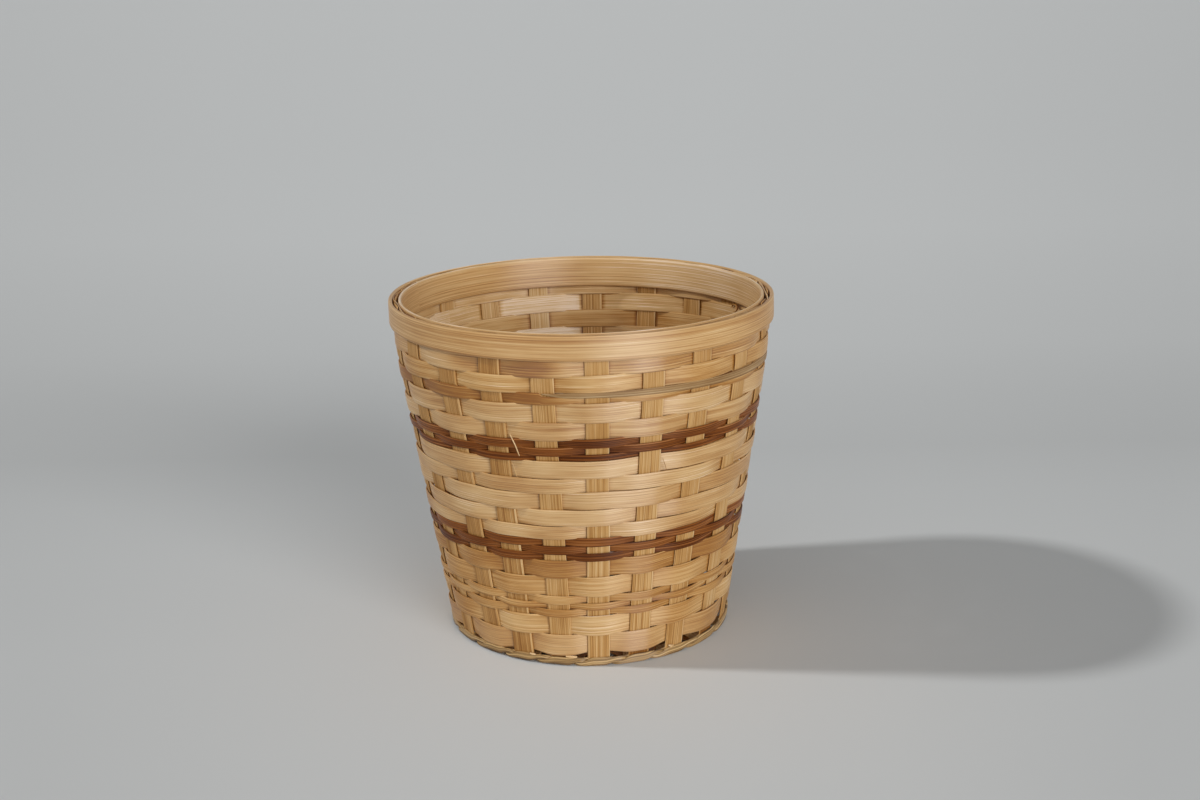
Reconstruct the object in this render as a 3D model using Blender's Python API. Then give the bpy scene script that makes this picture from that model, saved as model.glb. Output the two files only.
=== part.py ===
"""A round basket that widens upwards, woven from flat wood splints, its rim held between two bent hoops.

Eleven long splints cross under the middle, run out over the base, turn up at the foot and stand as
twenty-two uprights. Narrow rings are woven round them on the base, two thin strands are twined round them
at the foot, and flat rings of different widths are woven round them up the wall. One ring's grey end lies
over the uprights at the front. The last ring and the tops of the uprights stand between two hoops.

Lengths are in metres, angles in degrees where a name says so, and +Z is up. The origin is on the floor under
the middle of the basket. An upright's angle is counted from the front (-Y) towards +X.
"""

import math

import bmesh
import bpy
from mathutils import Vector

# Rim hoops
RIM_RADIUS = 0.1200
OUTER_BAND = 0.0150
INNER_BAND = 0.0200
HOOP_THICK = 0.0020
HOOP_SIDES = 88
RIM_OVERLAP = 0.0020
RIM_RECESS = 0.0006
WALL_CURVE = 0.0180
WALL_CURVE_STEPS = 4

# Splints that stand as uprights
UPRIGHT_WIDTH = 0.0130
UPRIGHT_THICK = 0.0010
HUB_WIDTH = 0.0050
HUB_THICK = 0.00045
HUB_GAP = 0.0002

# Splints that are woven round
WEAVER_THICK = 0.0008
CLEARANCE = 0.0003
EDGE_MARGIN = 0.0004
ROW_GAP = 0.0003
ROW_TILT = 0.0017

# Foot and base
FOOT_RADIUS = 0.0880
FOOT_GAP_FRONT = 0.0088
FOOT_GAP_BACK = 0.0080
BEND_RADIUS = 0.0050
BEND_STEPS = 5
FLAT_WIDTH = 0.0025
RISE_WIDTH = 0.0022
FLOOR_CLEAR = 0.0002
HUB_FLAT_RADIUS = 0.0190
HUB_RADIUS = 0.0280
HUB_BASE_RISE = 0.0045
STACK_RISE = 0.0016
BASE_WEAVER_WIDTH = 0.0055
BASE_WEAVER_GAP = 0.0008
TWINE_WIDTH = 0.0023
TWINE_GAP = 0.0003
TWINE_PLACE_DEG = 62.0

# Uprights seen at the front from left to right, and inside the back wall from right to left
FRONT_ANGLES_DEG = (-77.0, -59.6, -41.8, -26.4, -11.0, 3.9, 20.6, 36.4, 54.5, 73.0)
BACK_ANGLES_DEG = (139.5, 157.2, 176.5, 195.1, 213.1, 231.2)
RIGHT_SIDE_UPRIGHTS = 3
LEFT_SIDE_UPRIGHTS = 3
TWILL_REPEAT = 3
TWILL_DOUBLED_UPRIGHT = 20

# Rows of the wall from the foot up: kind, width at the front, width at the back, and course. A course says
# which uprights the row passes outside: the odd ones, the even ones, or all but one in three.
ROWS = (
    ("wide", 0.0124, 0.0118, "even"),
    ("wide", 0.0125, 0.0120, "odd"),
    ("narrow", 0.0045, 0.0043, "even"),
    ("narrow", 0.0038, 0.0038, "odd"),
    ("narrow", 0.0045, 0.0042, "even"),
    ("wide", 0.0126, 0.0119, "odd"),
    ("wide", 0.0111, 0.0107, "even"),
    ("brown", 0.0044, 0.0043, "odd"),
    ("brown", 0.0047, 0.0044, "even"),
    ("brown", 0.0047, 0.0045, "odd"),
    ("wide", 0.0082, 0.0084, "twill_2"),
    ("wide", 0.0101, 0.0095, "twill_0"),
    ("wide", 0.0107, 0.0098, "twill_1"),
    ("wide", 0.0089, 0.0087, "twill_2"),
    ("wide", 0.0109, 0.0101, "twill_0"),
    ("brown", 0.0035, 0.0036, "odd"),
    ("brown", 0.0041, 0.0040, "even"),
    ("brown", 0.0047, 0.0044, "odd"),
    ("wide", 0.0103, 0.0098, "even"),
    ("wide", 0.0114, 0.0106, "odd"),
    ("narrow", 0.0065, 0.0110, "even"),
    ("wide", 0.0094, 0.0114, "odd"),
    ("wide", 0.0110, 0.0122, "even"),
)

# The grey end lies along the upper edge of one row: its width at each upright that it passes, in order
GREY_ROW = 21
GREY_FIRST_UPRIGHT = 4
GREY_WIDTHS = (0.0030, 0.0034, 0.0036, 0.0040, 0.0044, 0.0044, 0.0040, 0.0036, 0.0030)
GREY_BEHIND = (10, 12)

# Colour, roughness
FINISHES = {
    "wide": ((0.56, 0.36, 0.17), 0.60),
    "narrow": ((0.50, 0.32, 0.15), 0.60),
    "grey": ((0.33, 0.25, 0.14), 0.60),
    "brown": ((0.13, 0.045, 0.018), 0.38),
    "upright": ((0.47, 0.29, 0.12), 0.65),
    "hoop": ((0.58, 0.37, 0.17), 0.55),
}


def spread(first, last, count):
    """Angles that stand evenly between two others."""
    step = (last - first) / (count + 1)
    return [first + step * (k + 1) for k in range(count)]


def upright_angles():
    """All the uprights' angles in radians, from the leftmost one at the front round by the right."""
    right = spread(FRONT_ANGLES_DEG[-1], BACK_ANGLES_DEG[0], RIGHT_SIDE_UPRIGHTS)
    left = spread(BACK_ANGLES_DEG[-1], FRONT_ANGLES_DEG[0] + 360.0, LEFT_SIDE_UPRIGHTS)
    degrees = [*FRONT_ANGLES_DEG, *right, *BACK_ANGLES_DEG, *left]
    return [math.radians(value) for value in degrees]


ANGLES = upright_angles()
UPRIGHTS = len(ANGLES)
LONG_SPLINTS = UPRIGHTS // 2

# Offsets across the weave, from the middle of an upright's thickness
WEAVE_OFFSET = UPRIGHT_THICK / 2 + CLEARANCE + WEAVER_THICK / 2
WEAVE_REACH = WEAVE_OFFSET + WEAVER_THICK / 2
HALF_PASS = UPRIGHT_WIDTH / 2 + EDGE_MARGIN

# The outermost row has to stand clear inside the outer hoop's flats, and the innermost outside the inner one
HOOP_FLAT_RADIUS = (RIM_RADIUS - HOOP_THICK) * math.cos(math.pi / HOOP_SIDES)
RIM_DISTANCE = math.sqrt((HOOP_FLAT_RADIUS - CLEARANCE) ** 2 - HALF_PASS ** 2) - WEAVE_REACH
INNER_HOOP_RADIUS = RIM_DISTANCE - WEAVE_REACH - CLEARANCE

# Heights up the wall
FLOOR_MID = UPRIGHT_THICK / 2
WALL_TOP = FOOT_GAP_FRONT + sum(row[1] for row in ROWS) + ROW_GAP * (len(ROWS) - 1)
HEIGHT = WALL_TOP - RIM_OVERLAP + OUTER_BAND
UPRIGHT_TOP = HEIGHT - RIM_RECESS
CURVE_HIGH = HEIGHT - INNER_BAND
CURVE_LOW = CURVE_HIGH - WALL_CURVE
WALL_SLOPE = (RIM_DISTANCE - FOOT_RADIUS) / ((CURVE_LOW + CURVE_HIGH) / 2 - FLOOR_MID)

# The turn from the base up into the wall
TURN = math.pi / 2 - math.atan(WALL_SLOPE)
TURN_LENGTH = BEND_RADIUS * math.tan(TURN / 2)
FLAT_OUTER = FOOT_RADIUS - TURN_LENGTH
FLAT_INNER = FLAT_OUTER - FLAT_WIDTH
BASE_RADIUS = FLAT_INNER - RISE_WIDTH
BASE_EDGE_RISE = WEAVE_REACH + FLOOR_CLEAR


def facing(angle):
    """The level direction from the middle of the basket out to an upright."""
    return Vector((math.sin(angle), -math.cos(angle), 0.0))


def beside(angle):
    """The level direction across an upright, towards the next one."""
    return Vector((math.cos(angle), math.sin(angle), 0.0))


def wall_distance(height):
    """How far the middle of an upright's thickness stands from the axis at a height.

    The wall leans out evenly, and curves upright where the hoops hold it.
    """
    if height >= CURVE_HIGH:
        return RIM_DISTANCE
    if height >= CURVE_LOW:
        return RIM_DISTANCE - WALL_SLOPE * (CURVE_HIGH - height) ** 2 / (2 * WALL_CURVE)
    return FOOT_RADIUS + WALL_SLOPE * (height - FLOOR_MID)


def wall_spot(upright, shift, height, out):
    """A place on the wall: shift to the side of an upright's middle line and out from it, at a height."""
    spot = facing(ANGLES[upright]) * (wall_distance(height) + out) + beside(ANGLES[upright]) * shift
    spot.z = height
    return spot


def row_height(front, back, upright, shift):
    """The height of a row's edge, which changes evenly to the back and is a little higher on the right."""
    angle = ANGLES[upright] + math.atan(shift / RIM_DISTANCE)
    share = (1 - math.cos(angle)) / 2
    return front + (back - front) * share + ROW_TILT * math.sin(angle)


def row_edges(number, upright, shift):
    """The heights of a row's lower and upper edge. Rows count from 1 at the foot up to the rim's."""
    below = ROWS[:number - 1]
    front = FOOT_GAP_FRONT + sum(row[1] + ROW_GAP for row in below)
    back = FOOT_GAP_BACK + sum(row[2] + ROW_GAP for row in below)
    low = row_height(front, back, upright, shift)
    if number > len(ROWS):
        return low, UPRIGHT_TOP
    front_width, back_width = ROWS[number - 1][1:3]
    return low, row_height(front + front_width, back + back_width, upright, shift)


def hub_angle(upright):
    """The angle at which an upright's splint leaves the hub, so that a splint runs straight across it."""
    if upright < LONG_SPLINTS:
        return (ANGLES[upright] + ANGLES[upright + LONG_SPLINTS] - math.pi) / 2
    return (ANGLES[upright] + ANGLES[upright - LONG_SPLINTS] + math.pi) / 2


def base_share(radius):
    """How far out a place on the base lies, from 0 at the hub to 1 at its edge."""
    return (radius - HUB_RADIUS) / (BASE_RADIUS - HUB_RADIUS)


def base_height(radius):
    """The middle of a splint's thickness on the gently domed base."""
    return HUB_BASE_RISE + (BASE_EDGE_RISE - HUB_BASE_RISE) * base_share(radius)


def base_place(upright, radius):
    """Where a splint's middle lies on the base, and the direction across it, in plan."""
    start = facing(hub_angle(upright)) * HUB_RADIUS
    end = facing(ANGLES[upright]) * BASE_RADIUS
    run = (end - start).normalized()
    return start.lerp(end, base_share(radius)), Vector((-run.y, run.x, 0.0))


def base_width(radius):
    """A splint's width on the base: it's cut narrower towards the hub, where all of them cross."""
    return HUB_WIDTH + (UPRIGHT_WIDTH - HUB_WIDTH) * base_share(radius)


def passes_outside(course, upright):
    """Whether a row on this course passes outside an upright."""
    if course == "even":
        return upright % 2 == 0
    if course == "odd":
        return upright % 2 == 1
    # A twill repeats over three uprights, so one upright is woven as its neighbour to close the ring.
    place = upright if upright < TWILL_DOUBLED_UPRIGHT else upright - 1
    return place % TWILL_REPEAT != int(course[-1])


def grey_width(upright):
    """How wide the grey end is at an upright, or nothing where it doesn't pass."""
    index = upright - GREY_FIRST_UPRIGHT
    return GREY_WIDTHS[index] if 0 <= index < len(GREY_WIDTHS) else 0.0


def make_material(finish):
    """A plain material of its own for each piece."""
    material = bpy.data.materials.new("splint_" + finish)
    material.use_nodes = True
    colour, roughness = FINISHES[finish]
    shader = material.node_tree.nodes["Principled BSDF"]
    shader.inputs["Base Color"].default_value = (*colour, 1.0)
    shader.inputs["Roughness"].default_value = roughness
    shader.inputs["Metallic"].default_value = 0.0
    material.diffuse_color = (*colour, 1.0)
    return material


def finish_object(shape, name, finish):
    """Turns a finished bmesh into a named object with its own material, its faces pointing out."""
    bmesh.ops.recalc_face_normals(shape, faces=shape.faces)
    if shape.calc_volume(signed=True) < 0:
        bmesh.ops.reverse_faces(shape, faces=shape.faces)
    mesh = bpy.data.meshes.new(name)
    shape.to_mesh(mesh)
    shape.free()
    mesh.materials.append(make_material(finish))
    part = bpy.data.objects.new(name, mesh)
    bpy.data.collections["splint_basket"].objects.link(part)
    return part


def sweep_strip(name, sections, finish):
    """A flat strip through sections: their middle, direction across, direction out, width and thickness."""
    shape = bmesh.new()
    corner = shape.verts.layers.int.new("corner")
    bmesh.ops.create_grid(shape, x_segments=1, y_segments=1, size=0.5)
    end = shape.faces[:][0]
    for number, vert in enumerate(end.verts):
        vert[corner] = number

    def place(verts, section):
        middle, across, outward, width, thick = section
        signs = ((-1, -1), (1, -1), (1, 1), (-1, 1))
        for vert in verts:
            side, face = signs[vert[corner]]
            vert.co = middle + across * (side * width / 2) + outward * (face * thick / 2)

    place(end.verts, sections[0])
    for section in sections[1:]:
        made = bmesh.ops.extrude_face_region(shape, geom=[end, *end.edges])["geom"]
        end = next(item for item in made if isinstance(item, bmesh.types.BMFace))
        place(end.verts, section)
    return finish_object(shape, name, finish)


def spin_ring(name, steps, place, finish):
    """A closed ring with a section of four corners, each then set in its place by place(step, corner).

    Corners run lower inner, lower outer, upper outer, upper inner.
    """
    shape = bmesh.new()
    corner = shape.verts.layers.int.new("corner")
    bmesh.ops.create_circle(shape, segments=4, radius=HOOP_THICK, cap_ends=False)
    for number, vert in enumerate(shape.verts):
        vert[corner] = number
        vert.co = Vector((RIM_RADIUS + vert.co.x, 0.0, vert.co.y))
    bmesh.ops.spin(
        shape,
        geom=shape.verts[:] + shape.edges[:],
        cent=(0.0, 0.0, 0.0),
        axis=(0.0, 0.0, 1.0),
        dvec=(0.0, 0.0, 0.0),
        angle=2 * math.pi,
        steps=steps,
        use_merge=True,
        use_duplicate=False,
    )
    for vert in shape.verts:
        turn = math.atan2(vert.co.y, vert.co.x) / (2 * math.pi)
        vert.co = place(round(turn * steps) % steps, vert[corner])
    return finish_object(shape, name, finish)


def add_hoop(name, outer_radius, low):
    """One bent hoop of the rim."""
    radii = (outer_radius - HOOP_THICK, outer_radius, outer_radius, outer_radius - HOOP_THICK)
    heights = (low, low, HEIGHT, HEIGHT)

    def place(step, corner):
        spot = facing(2 * math.pi * step / HOOP_SIDES) * radii[corner]
        spot.z = heights[corner]
        return spot

    return spin_ring(name, HOOP_SIDES, place, "hoop")


def add_wall_row(number, kind, course, name):
    """One row of the wall. It passes each upright along its flat face and changes sides between them.

    The row with the grey end is narrower where that end lies above it.
    """
    faces = (-WEAVER_THICK / 2, WEAVER_THICK / 2, WEAVER_THICK / 2, -WEAVER_THICK / 2)

    def place(step, corner):
        upright, leaving = divmod(step, 2)
        shift = HALF_PASS if leaving else -HALF_PASS
        low, high = row_edges(number, upright, shift)
        if number == GREY_ROW and grey_width(upright):
            high -= grey_width(upright) + ROW_GAP
        side = 1 if passes_outside(course, upright) else -1
        out = side * WEAVE_OFFSET + faces[corner]
        return wall_spot(upright, shift, low if corner < 2 else high, out)

    return spin_ring(name, 2 * UPRIGHTS, place, kind)


def add_grey_end():
    """The grey end of a row. It lies over the uprights at the front and is woven in on the right."""
    last = GREY_FIRST_UPRIGHT + len(GREY_WIDTHS) - 1
    stops = [(GREY_FIRST_UPRIGHT, 0.0), (GREY_FIRST_UPRIGHT, HALF_PASS)]
    for upright in range(GREY_FIRST_UPRIGHT + 1, last):
        stops += [(upright, -HALF_PASS), (upright, HALF_PASS)]
    stops += [(last, -HALF_PASS), (last, 0.0)]
    sections = []
    for upright, shift in stops:
        high = row_edges(GREY_ROW, upright, shift)[1]
        out = WEAVE_OFFSET * (-1 if upright in GREY_BEHIND else 1)
        upper = wall_spot(upright, shift, high, out)
        lower = wall_spot(upright, shift, high - grey_width(upright), out)
        rise = upper - lower
        outward = facing(ANGLES[upright])
        sections.append(((upper + lower) / 2, rise.normalized(), outward, rise.length, WEAVER_THICK))
    return sweep_strip(f"grey_end_{GREY_ROW:02d}", sections, "grey")


def add_base_ring(name, inner, outer, course):
    """One narrow ring on the base, woven over and under the splints there."""
    radii = (inner, outer, outer, inner)
    faces = (-WEAVER_THICK / 2, -WEAVER_THICK / 2, WEAVER_THICK / 2, WEAVER_THICK / 2)

    def place(step, corner):
        upright, leaving = divmod(step, 2)
        side = -1 if passes_outside(course, upright) else 1
        middle, across = base_place(upright, radii[corner])
        shift = base_width(radii[corner]) / 2 + EDGE_MARGIN
        spot = middle + across * (shift if leaving else -shift)
        spot.z = base_height(radii[corner]) + side * WEAVE_OFFSET + faces[corner]
        return spot

    return spin_ring(name, 2 * UPRIGHTS, place, "narrow")


def bend_point(turned):
    """A point on the turn at the foot, in plan distance and height."""
    return (
        FLAT_OUTER + BEND_RADIUS * math.sin(turned),
        FLOOR_MID + BEND_RADIUS * (1 - math.cos(turned)),
    )


def add_twining(name, course):
    """One of two thin strands at the foot. Going in behind an upright it crosses above the other strand."""
    turned = math.radians(TWINE_PLACE_DEG)
    centre, height = bend_point(turned)
    inner_bend = BEND_RADIUS - UPRIGHT_THICK / 2 - CLEARANCE
    offset = BEND_RADIUS + WEAVER_THICK / 2 - math.sqrt(inner_bend ** 2 - (TWINE_WIDTH / 2) ** 2)
    climb = (TWINE_WIDTH + TWINE_GAP) / 2
    faces = (-WEAVER_THICK / 2, WEAVER_THICK / 2, WEAVER_THICK / 2, -WEAVER_THICK / 2)
    edges = (-TWINE_WIDTH / 2, -TWINE_WIDTH / 2, TWINE_WIDTH / 2, TWINE_WIDTH / 2)
    half_angle = math.asin(HALF_PASS / centre)

    def place(step, corner):
        upright, stage = divmod(step, 4)
        following = (upright + 1) % UPRIGHTS
        side = 1 if passes_outside(course, upright) else -1
        next_side = 1 if passes_outside(course, following) else -1
        start = ANGLES[upright] + half_angle
        end = ANGLES[following] - half_angle
        if end < start:
            end += 2 * math.pi
        angle = start + (end - start) * stage / 3
        level = climb * (side - next_side) / 2 if stage in (1, 2) else 0.0
        out = (side if stage < 2 else next_side) * offset + faces[corner]
        along = level + edges[corner]
        distance = centre + out * math.sin(turned) + along * math.cos(turned)
        spot = facing(angle) * distance
        spot.z = height - out * math.cos(turned) + along * math.sin(turned)
        return spot

    return spin_ring(name, 4 * UPRIGHTS, place, "narrow")


def wall_lean(height):
    """The angle of the wall from level at a height."""
    held = min(1.0, max(0.0, (CURVE_HIGH - height) / WALL_CURVE))
    return math.pi / 2 - math.atan(WALL_SLOPE * held)


def leg_profile():
    """The middle of an upright from its top to the base's edge: distance out, height, angle from level."""
    points = [(RIM_DISTANCE, UPRIGHT_TOP, math.pi / 2)]
    for step in range(WALL_CURVE_STEPS + 1):
        height = CURVE_HIGH - WALL_CURVE * step / WALL_CURVE_STEPS
        points.append((wall_distance(height), height, wall_lean(height)))
    for step in range(BEND_STEPS, -1, -1):
        turned = TURN * step / BEND_STEPS
        points.append((*bend_point(turned), turned))
    points.append((FLAT_INNER, FLOOR_MID, 0.0))
    points.append((BASE_RADIUS, BASE_EDGE_RISE, 0.0))
    return points


def leg_sections(upright):
    """Sections of one leg of a splint, from its top down and in to the hub."""
    sections = []
    for distance, height, turned in leg_profile():
        middle = facing(ANGLES[upright]) * distance
        middle.z = height
        outward = facing(ANGLES[upright]) * math.sin(turned)
        outward.z = -math.cos(turned)
        sections.append((middle, beside(ANGLES[upright]), outward, UPRIGHT_WIDTH, UPRIGHT_THICK))
    middle, across = base_place(upright, HUB_RADIUS)
    middle.z = HUB_BASE_RISE
    sections.append((middle, across, Vector((0.0, 0.0, -1.0)), HUB_WIDTH, UPRIGHT_THICK))
    return sections


def hub_section(upright, radius, height):
    """A section of a splint where it crosses the hub."""
    angle = hub_angle(upright)
    middle = facing(angle) * radius
    middle.z = height
    return middle, beside(angle), Vector((0.0, 0.0, -1.0)), HUB_WIDTH, HUB_THICK


def turned_round(section):
    """The same section as seen from the splint's other leg, so that the sweep isn't twisted."""
    middle, across, outward, width, thick = section
    return middle, -across, outward, width, thick


def add_long_splint(number):
    """A splint with an upright at each end, crossing the others at its own height over the hub."""
    height = STACK_RISE + number * (HUB_THICK + HUB_GAP)
    near_leg = leg_sections(number)
    near_leg.append(hub_section(number, HUB_FLAT_RADIUS, height))
    near_leg.append(hub_section(number, 0.0, height))
    far_leg = leg_sections(number + LONG_SPLINTS)
    far_leg.append(hub_section(number + LONG_SPLINTS, HUB_FLAT_RADIUS, height))
    sections = near_leg + [turned_round(section) for section in reversed(far_leg)]
    return sweep_strip(f"long_splint_{number + 1:02d}", sections, "upright")


def add_base_rings():
    """As many narrow rings as the base has room for, from its edge in to the hub."""
    step = BASE_WEAVER_WIDTH + BASE_WEAVER_GAP
    count = int((BASE_RADIUS - HUB_RADIUS) / step)
    outer = BASE_RADIUS - BASE_WEAVER_GAP
    for number in range(count, 0, -1):
        course = "odd" if number % 2 else "even"
        add_base_ring(f"base_weaver_{number}", outer - BASE_WEAVER_WIDTH, outer, course)
        outer -= step


def add_wall_rows():
    """The rows from the foot up, the grey end, and the last row between the hoops."""
    for number, (kind, _, _, course) in enumerate(ROWS, start=1):
        add_wall_row(number, kind, course, f"{kind}_weaver_{number:02d}")
    add_grey_end()
    rim_row = len(ROWS) + 1
    add_wall_row(rim_row, "wide", "odd", f"rim_weaver_{rim_row:02d}")


def build():
    """Clears the scene and builds every piece."""
    for old in list(bpy.data.objects):
        bpy.data.objects.remove(old, do_unlink=True)
    basket = bpy.data.collections.new("splint_basket")
    bpy.context.scene.collection.children.link(basket)
    for number in range(LONG_SPLINTS):
        add_long_splint(number)
    add_base_rings()
    add_twining("foot_twining_1", "odd")
    add_twining("foot_twining_2", "even")
    add_wall_rows()
    add_hoop("outer_rim_hoop", RIM_RADIUS, HEIGHT - OUTER_BAND)
    add_hoop("inner_rim_hoop", INNER_HOOP_RADIUS, HEIGHT - INNER_BAND)


build()
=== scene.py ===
"""The looks of a splint basket: every splint as a thin, uneven strip of wood, woven as in the frame.

Lengths are in metres unless a name says MM, angles in radians unless a name says DEG. The origin is on the
floor under the middle of the basket, and an upright's angle is counted from the front (-Y) towards +X.
"""

import math

import bmesh
import bpy
from mathutils import Matrix, Vector, noise


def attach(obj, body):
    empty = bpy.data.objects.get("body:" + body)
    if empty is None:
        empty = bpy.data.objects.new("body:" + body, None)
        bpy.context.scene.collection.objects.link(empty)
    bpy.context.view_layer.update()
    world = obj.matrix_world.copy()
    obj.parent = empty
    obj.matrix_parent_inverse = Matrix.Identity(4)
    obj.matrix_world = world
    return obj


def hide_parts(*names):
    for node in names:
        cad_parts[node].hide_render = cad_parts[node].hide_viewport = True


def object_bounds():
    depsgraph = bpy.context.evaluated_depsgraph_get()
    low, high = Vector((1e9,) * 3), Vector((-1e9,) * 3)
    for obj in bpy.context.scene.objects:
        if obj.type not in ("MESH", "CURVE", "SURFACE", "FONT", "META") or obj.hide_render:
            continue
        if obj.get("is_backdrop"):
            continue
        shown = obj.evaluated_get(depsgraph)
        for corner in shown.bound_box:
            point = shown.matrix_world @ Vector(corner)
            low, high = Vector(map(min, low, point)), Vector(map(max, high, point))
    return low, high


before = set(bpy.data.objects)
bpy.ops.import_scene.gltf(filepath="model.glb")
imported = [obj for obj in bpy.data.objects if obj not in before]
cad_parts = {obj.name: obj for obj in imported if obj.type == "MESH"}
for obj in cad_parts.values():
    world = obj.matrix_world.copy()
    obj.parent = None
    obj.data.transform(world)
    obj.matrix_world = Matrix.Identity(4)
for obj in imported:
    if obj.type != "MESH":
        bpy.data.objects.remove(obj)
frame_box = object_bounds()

MM = 0.001
DOWN = Vector((0.0, 0.0, -1.0))

# Rim
RIM_RADIUS = 120.0 * MM
OUTER_BAND = 15.0 * MM
INNER_BAND = 20.0 * MM
OUTER_HOOP_THICK = 2.5 * MM
INNER_HOOP_THICK = 2.0 * MM
WALL_CURVE = 18.0 * MM
RIM_RECESS = 0.6 * MM
RIM_DISTANCE = 115.82 * MM
INNER_HOOP_RADIUS = 113.92 * MM

# Splints
UPRIGHT_WIDTH = 13.0 * MM
UPRIGHT_THICK = 1.0 * MM
WEAVER_THICK = 0.8 * MM
WEAVE_OFFSET = 1.2 * MM
ROW_GAP = 0.3 * MM
ROW_TILT = 1.7 * MM
PASS_SPREAD = 0.55 * MM
PASS_MARGIN = 0.2
FOOT_SPREAD = 0.6 * MM
FOOT_REACH = 0.85 * MM
DIP_SHARE = 0.45
EDGE_WANDER = 0.35 * MM
EDGE_TILT = 0.25 * MM
EDGE_POWER = 16
CUP = 0.12 * MM
BROWN_RIDGES = 3
BROWN_RIDGE = 0.10 * MM
RIDGE_WANDER = 0.15
UPRIGHT_PUSH = 0.15 * MM
SIDE_WANDER = 0.5 * MM
UPRIGHT_SWELL = 1.05
WIDTH_WANDER = 0.05
GROOVE = 0.08 * MM

# The low rows at the front stand off each other by up to a slit between two uprights
SLIT = 0.9 * MM
SLIT_ROWS = 7
SLIT_HALF_DEG = 50.0
SLIT_GROWS_OVER = 0.1
SLIT_MIDDLE = 0.5
SLIT_WANDER = 1.6

# Tones: above the middle one of a finish it's lighter, and below it darker
MIDDLE_TONE = 0.5
PASS_TONE = 0.28
ROW_TONE_WANDER = 0.10
SPLINT_TONE_WANDER = 0.10
SPLINT_TONE_STEP_MM = 4
UPRIGHT_EDGE_TONE = 0.22
UPRIGHT_EDGE_FROM = 0.80
UPRIGHT_EDGE_OVER = 0.06

# Painted shade where a splint lies behind another: from this depth on, and within so many of its half widths
BEHIND_PAINTED_SHADE = 0.65
BEHIND_SHADE_FROM = 0.76
BEHIND_SHADE_REACH = 1.7
BEHIND_SHADE_FADE = 0.5

# Foot and base
FOOT_RADIUS = 88.0 * MM
FOOT_GAP_FRONT = 8.8 * MM
FOOT_GAP_BACK = 8.0 * MM
BEND_RADIUS = 5.0 * MM
FLAT_WIDTH = 2.5 * MM
RISE_WIDTH = 2.2 * MM
HUB_FLAT_RADIUS = 19.0 * MM
HUB_RADIUS = 28.0 * MM
HUB_WIDTH = 5.0 * MM
HUB_THICK = 0.45 * MM
HUB_GAP = 0.2 * MM
HUB_BASE_RISE = 4.5 * MM
BASE_EDGE_RISE = 1.8 * MM
BASE_EDGE_TURNS = (-0.2, -0.5, -0.25)
WALL_TURN = 1.0
STACK_RISE = 1.6 * MM
BASE_WEAVER_WIDTH = 5.5 * MM
BASE_WEAVER_GAP = 0.8 * MM
BASE_FLAT_SHARE = 0.25
BASE_WANDER = 0.3 * MM
BASE_TONE = 0.45
BASE_TONE_WANDER = 0.14
BASE_EDGE_SPREAD = 5.0 * MM
# The outermost ring on the base is darkened by painted shade
BASE_EDGE_PAINTED_SHADE = -0.5

# The two strands round the foot rise and narrow at the front's left, with painted shade along their lower
# edge
TWINE_WIDTH = 5.6 * MM
TWINE_TWISTED_WIDTH = 2.9 * MM
TWINE_THICK = 1.3 * MM
TWINE_OUTSIDE = {"distance": 89.60 * MM, "height": 2.85 * MM, "steepness_deg": 83.0}
TWINE_INSIDE = {"distance": 86.70 * MM, "height": 2.75 * MM, "steepness_deg": 58.0}
TWINE_RIDGE = 0.12 * MM
TWINE_RIDGES = 3
TWINE_WANDER = 0.1 * MM
TWINE_LIFT = 0.7 * MM
TWINE_LIFT_MIDDLE_DEG = -45.0
TWINE_LIFT_HALF_DEG = 42.0
TWINE_LIFT_GROWS_OVER = 0.15
TWINE_LIFT_RISE = 0.7
TWINE_LIFT_NARROWING = 0.6
TWINE_TONE = 0.50
TWINE_TONE_WANDER = 0.16
FOOT_PAINTED_SHADE = 0.22
FOOT_PAINTED_SHADE_LEFT = 0.45
FOOT_PAINTED_SHADE_MIDDLE = 0.1
FOOT_PAINTED_SHADE_GROWTH = 0.9

# Uprights seen at the front from left to right, and inside the back wall from right to left
FRONT_ANGLES_DEG = (-77.0, -59.6, -41.8, -26.4, -11.0, 3.9, 20.6, 36.4, 54.5, 73.0)
BACK_ANGLES_DEG = (139.5, 157.2, 176.5, 195.1, 213.1, 231.2)
SIDE_UPRIGHTS = 3
TWILL_REPEAT = 3
TWILL_DOUBLED_UPRIGHT = 20

# How far each of the front uprights stands sideways of its even place, in mm at the foot and at the rim
FRONT_LEANS_MM = (
    (0.0, -1.0),
    (0.0, -2.8),
    (1.0, -3.2),
    (-1.2, -2.7),
    (-0.4, -1.2),
    (-1.2, 0.2),
    (-2.0, 0.1),
    (-2.0, 0.9),
    (0.0, -0.8),
    (0.0, 0.0),
)

# The long splints aren't all of one colour
SPLINT_TONES = (0.0, -0.10, -0.12, -0.14, -0.04, 0.05, 0.05, -0.03, 0.12, 0.0, 0.0)

# The handmade basket leans a little: sideways by this much at the foot and at the rim
SWAY_FOOT = 0.35 * MM
SWAY_RIM = -1.3 * MM

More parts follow.
